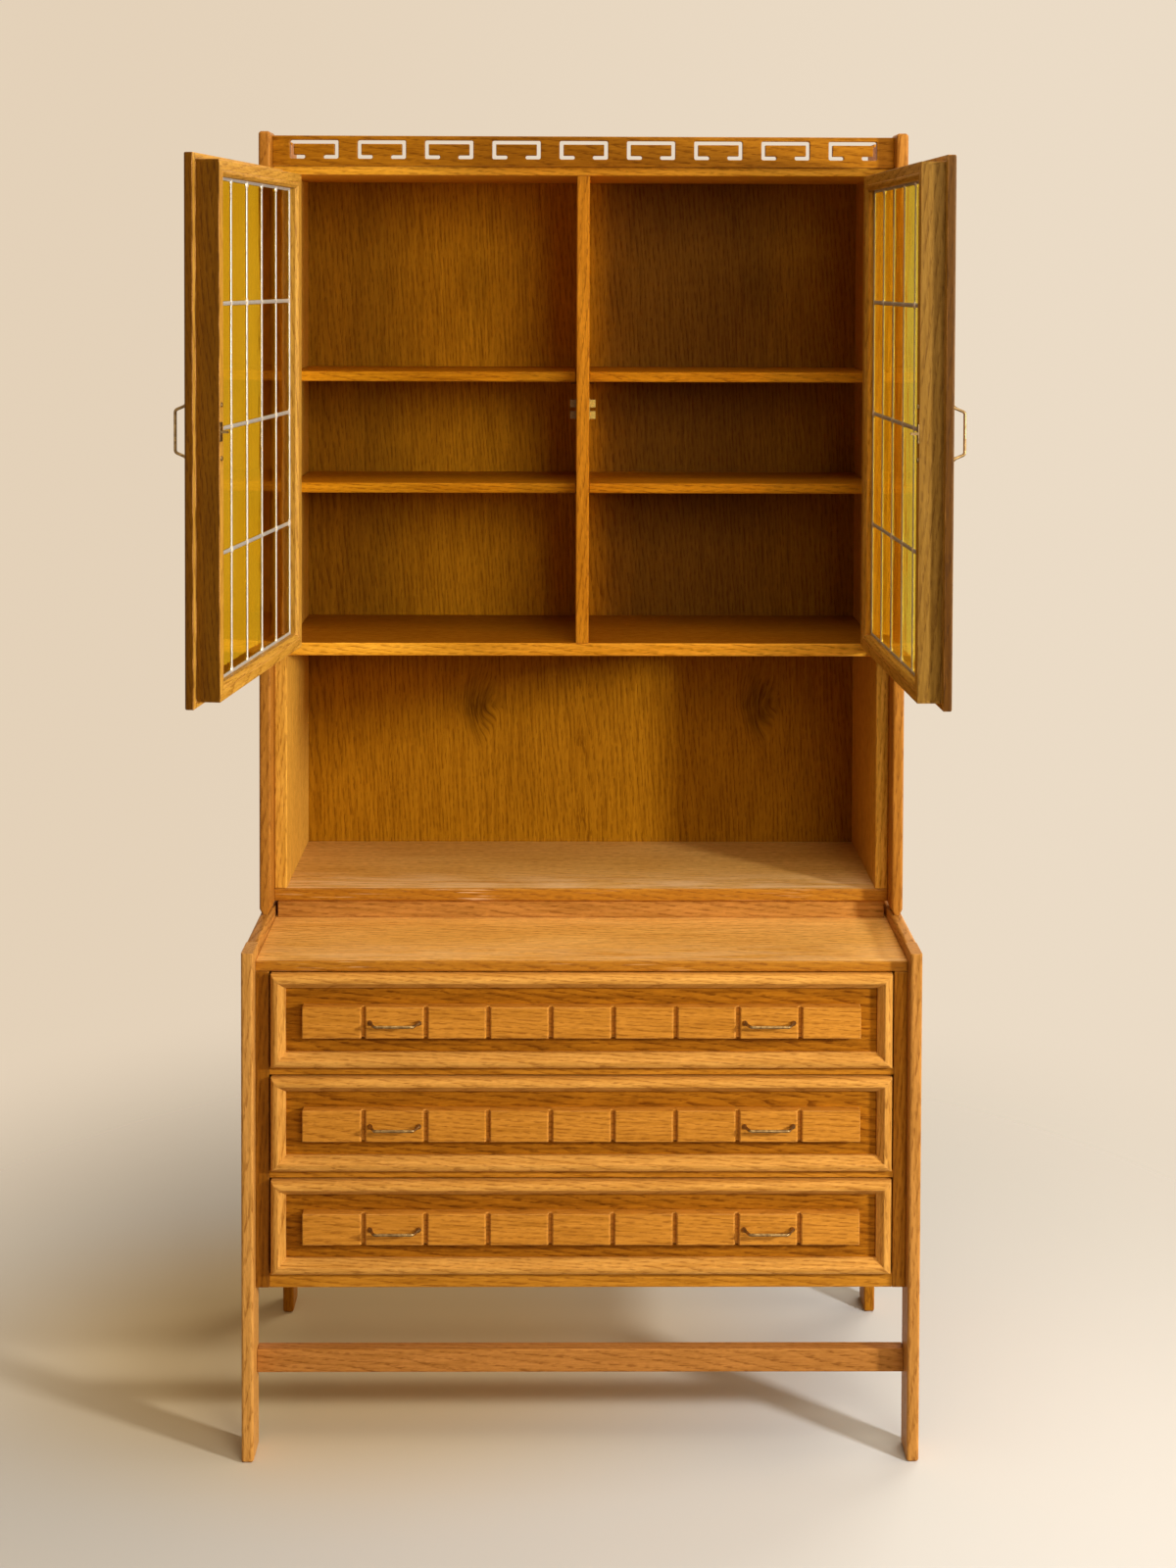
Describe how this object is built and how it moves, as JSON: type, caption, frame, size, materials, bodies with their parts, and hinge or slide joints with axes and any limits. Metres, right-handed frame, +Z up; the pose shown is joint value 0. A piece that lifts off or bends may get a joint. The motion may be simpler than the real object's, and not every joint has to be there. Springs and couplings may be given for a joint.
{
  "type": "step-back cabinet",
  "caption": "Oak step-back cabinet: a chest of drawers on plank legs under an open niche and a cupboard with leaded-glass doors and a pierced key-fret frieze.",
  "frame": {"origin": "on the floor, at the centre of the footprint of the four legs", "axes": "+Z up, -Y to the front where the doors and drawers are, +X to the right seen from the front"},
  "size_m": [1.0649, 0.7817, 1.972],
  "materials": {
    "oak": "honey-brown waxed oak with open pores",
    "glass": "amber hand-rolled glass, wavy",
    "lead": "dull grey lead came with brighter solder at the crossings",
    "brass": "antique brass, browned, bright where it is rubbed"
  },
  "bodies": {
    "cabinet": {"back_legs": "oak", "ball_catches": "brass", "base_back": "oak", "base_bottom": "oak", "base_frame_rails": "oak", "base_side_left": "oak", "base_side_right": "oak", "counter_top": "oak", "cupboard_floor": "oak", "drawer_dividers": "oak", "drawer_runners": "oak", "fixed_hinges": "brass", "frieze": "oak", "front_leg_left": "oak", "front_leg_right": "oak", "front_stretcher": "oak", "lower_shelves": "oak", "niche_floor": "oak", "partition": "oak", "plinth": "oak", "shelf_pins": "brass", "top_board": "oak", "upper_back": "oak", "upper_back_posts": "oak", "upper_frame_rails": "oak", "upper_front_post_left": "oak", "upper_front_post_right": "oak", "upper_shelves": "oak", "upper_side_left": "oak", "upper_side_right": "oak"},
    "left_door": {"left_door_beads": "oak", "left_door_cames": "lead", "left_door_frame": "oak", "left_door_hinge_leaves": "brass", "left_door_panes": "glass", "left_door_pull": "brass", "left_door_strike": "brass"},
    "right_door": {"right_door_beads": "oak", "right_door_cames": "lead", "right_door_frame": "oak", "right_door_hinge_leaves": "brass", "right_door_panes": "glass", "right_door_pull": "brass", "right_door_strike": "brass"},
    "top_drawer": {"top_drawer_box": "oak", "top_drawer_front": "oak", "top_drawer_moulding": "oak", "top_drawer_pulls": "brass", "top_drawer_tiles": "oak"},
    "middle_drawer": {"middle_drawer_box": "oak", "middle_drawer_front": "oak", "middle_drawer_moulding": "oak", "middle_drawer_pulls": "brass", "middle_drawer_tiles": "oak"},
    "bottom_drawer": {"bottom_drawer_box": "oak", "bottom_drawer_front": "oak", "bottom_drawer_moulding": "oak", "bottom_drawer_pulls": "brass", "bottom_drawer_tiles": "oak"}
  },
  "joints": [
    {"name": "left_door_hinge", "type": "hinge", "parent": "cabinet", "child": "left_door", "pos_m": [-0.478, -0.044, 1.5415], "axis": [0, 0, -1], "range_deg": [-97, 1]},
    {"name": "right_door_hinge", "type": "hinge", "parent": "cabinet", "child": "right_door", "pos_m": [0.478, -0.044, 1.5415], "axis": [0, 0, 1], "range_deg": [-92, 6]},
    {"name": "top_drawer_slide", "type": "slide", "parent": "cabinet", "child": "top_drawer", "axis": [0, -1, 0], "range_m": [0, 0.32]},
    {"name": "middle_drawer_slide", "type": "slide", "parent": "cabinet", "child": "middle_drawer", "axis": [0, -1, 0], "range_m": [0, 0.32]},
    {"name": "bottom_drawer_slide", "type": "slide", "parent": "cabinet", "child": "bottom_drawer", "axis": [0, -1, 0], "range_m": [0, 0.32]}
  ]
}
